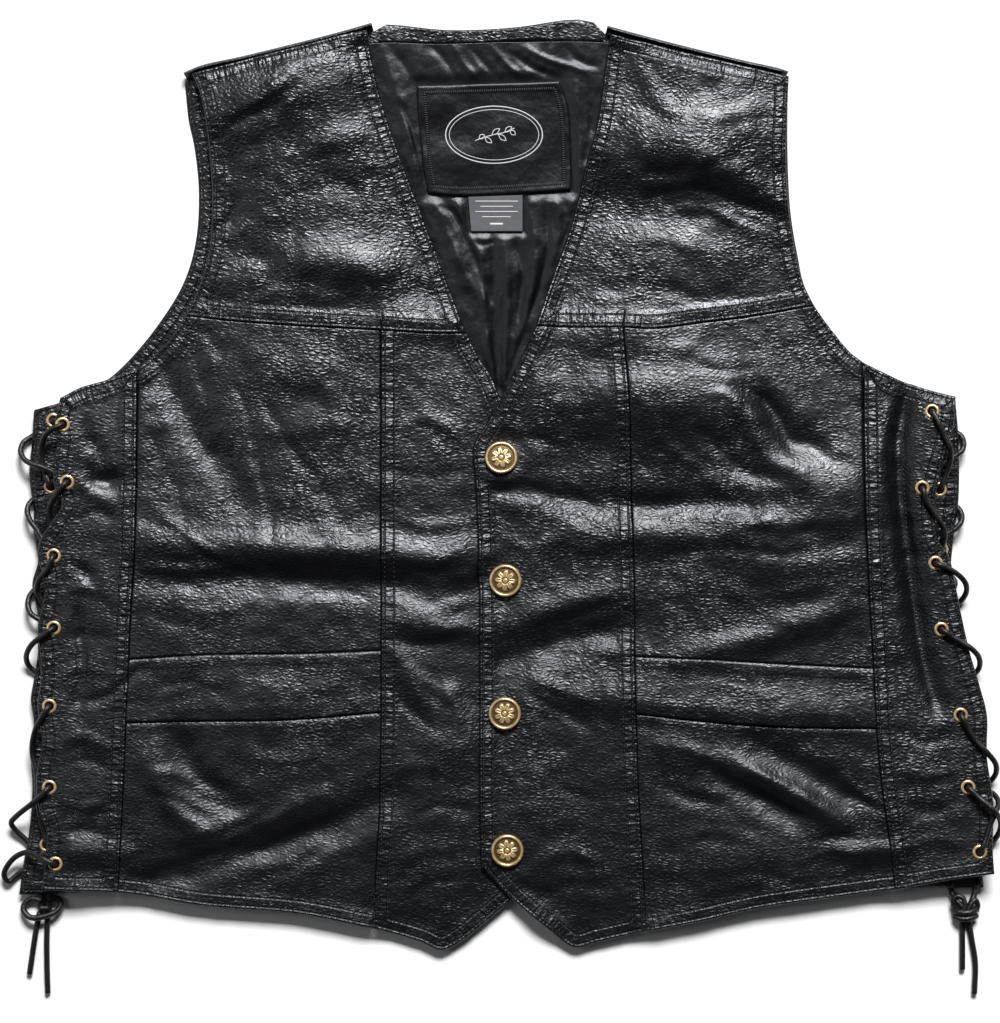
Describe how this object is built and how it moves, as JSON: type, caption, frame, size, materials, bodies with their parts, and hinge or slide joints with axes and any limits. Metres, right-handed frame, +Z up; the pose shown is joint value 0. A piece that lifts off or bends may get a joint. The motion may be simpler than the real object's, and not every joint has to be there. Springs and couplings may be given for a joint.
{
  "type": "vest",
  "caption": "Black leather vest laid flat, with snap front, yokes, welt pockets and side seams laced through metal eyelets.",
  "frame": {"origin": "on the surface it lies on, under the middle of the vest without the free ends of its laces", "axes": "+X towards the wearer's left front (image right), +Y towards the collar, +Z up from the surface through the fronts"},
  "size_m": [0.6818, 0.6632, 0.0243],
  "materials": {
    "leather": "black grained leather, semi-gloss",
    "lining": "black woven lining with a satin sheen",
    "label": "black woven patch",
    "tab": "grey woven tab",
    "brass": "antique brass, brown in its recesses",
    "lace": "round black leather lace"
  },
  "bodies": {
    "root": {"back": "leather", "back_lining": "lining", "neck_facing": "leather", "label_patch": "label", "size_tab": "tab", "yoke_left": "leather", "centre_left": "leather", "middle_upper_left": "leather", "pocket_welt_left": "leather", "middle_lower_left": "leather", "side_left": "leather", "yoke_right": "leather", "centre_right": "leather", "middle_upper_right": "leather", "pocket_welt_right": "leather", "middle_lower_right": "leather", "side_right": "leather", "eyelet_front_left_1": "brass", "eyelet_front_left_2": "brass", "eyelet_front_left_3": "brass", "eyelet_front_left_4": "brass", "eyelet_front_left_5": "brass", "eyelet_front_left_6": "brass", "eyelet_front_left_7": "brass", "eyelet_back_left_1": "brass", "eyelet_back_left_2": "brass", "eyelet_back_left_3": "brass", "eyelet_back_left_4": "brass", "eyelet_back_left_5": "brass", "eyelet_back_left_6": "brass", "eyelet_back_left_7": "brass", "eyelet_front_right_1": "brass", "eyelet_front_right_2": "brass", "eyelet_front_right_3": "brass", "eyelet_front_right_4": "brass", "eyelet_front_right_5": "brass", "eyelet_front_right_6": "brass", "eyelet_front_right_7": "brass", "eyelet_back_right_1": "brass", "eyelet_back_right_2": "brass", "eyelet_back_right_3": "brass", "eyelet_back_right_4": "brass", "eyelet_back_right_5": "brass", "eyelet_back_right_6": "brass", "eyelet_back_right_7": "brass", "snap_1": "brass", "snap_2": "brass", "snap_3": "brass", "snap_4": "brass", "lacing_left": "lace", "lacing_right": "lace", "lace_knot_left": "lace", "lace_knot_right": "lace", "lace_tail_left_1": "lace", "lace_tail_left_2": "lace", "lace_tail_right_1": "lace", "lace_tail_right_2": "lace"}
  },
  "joints": []
}
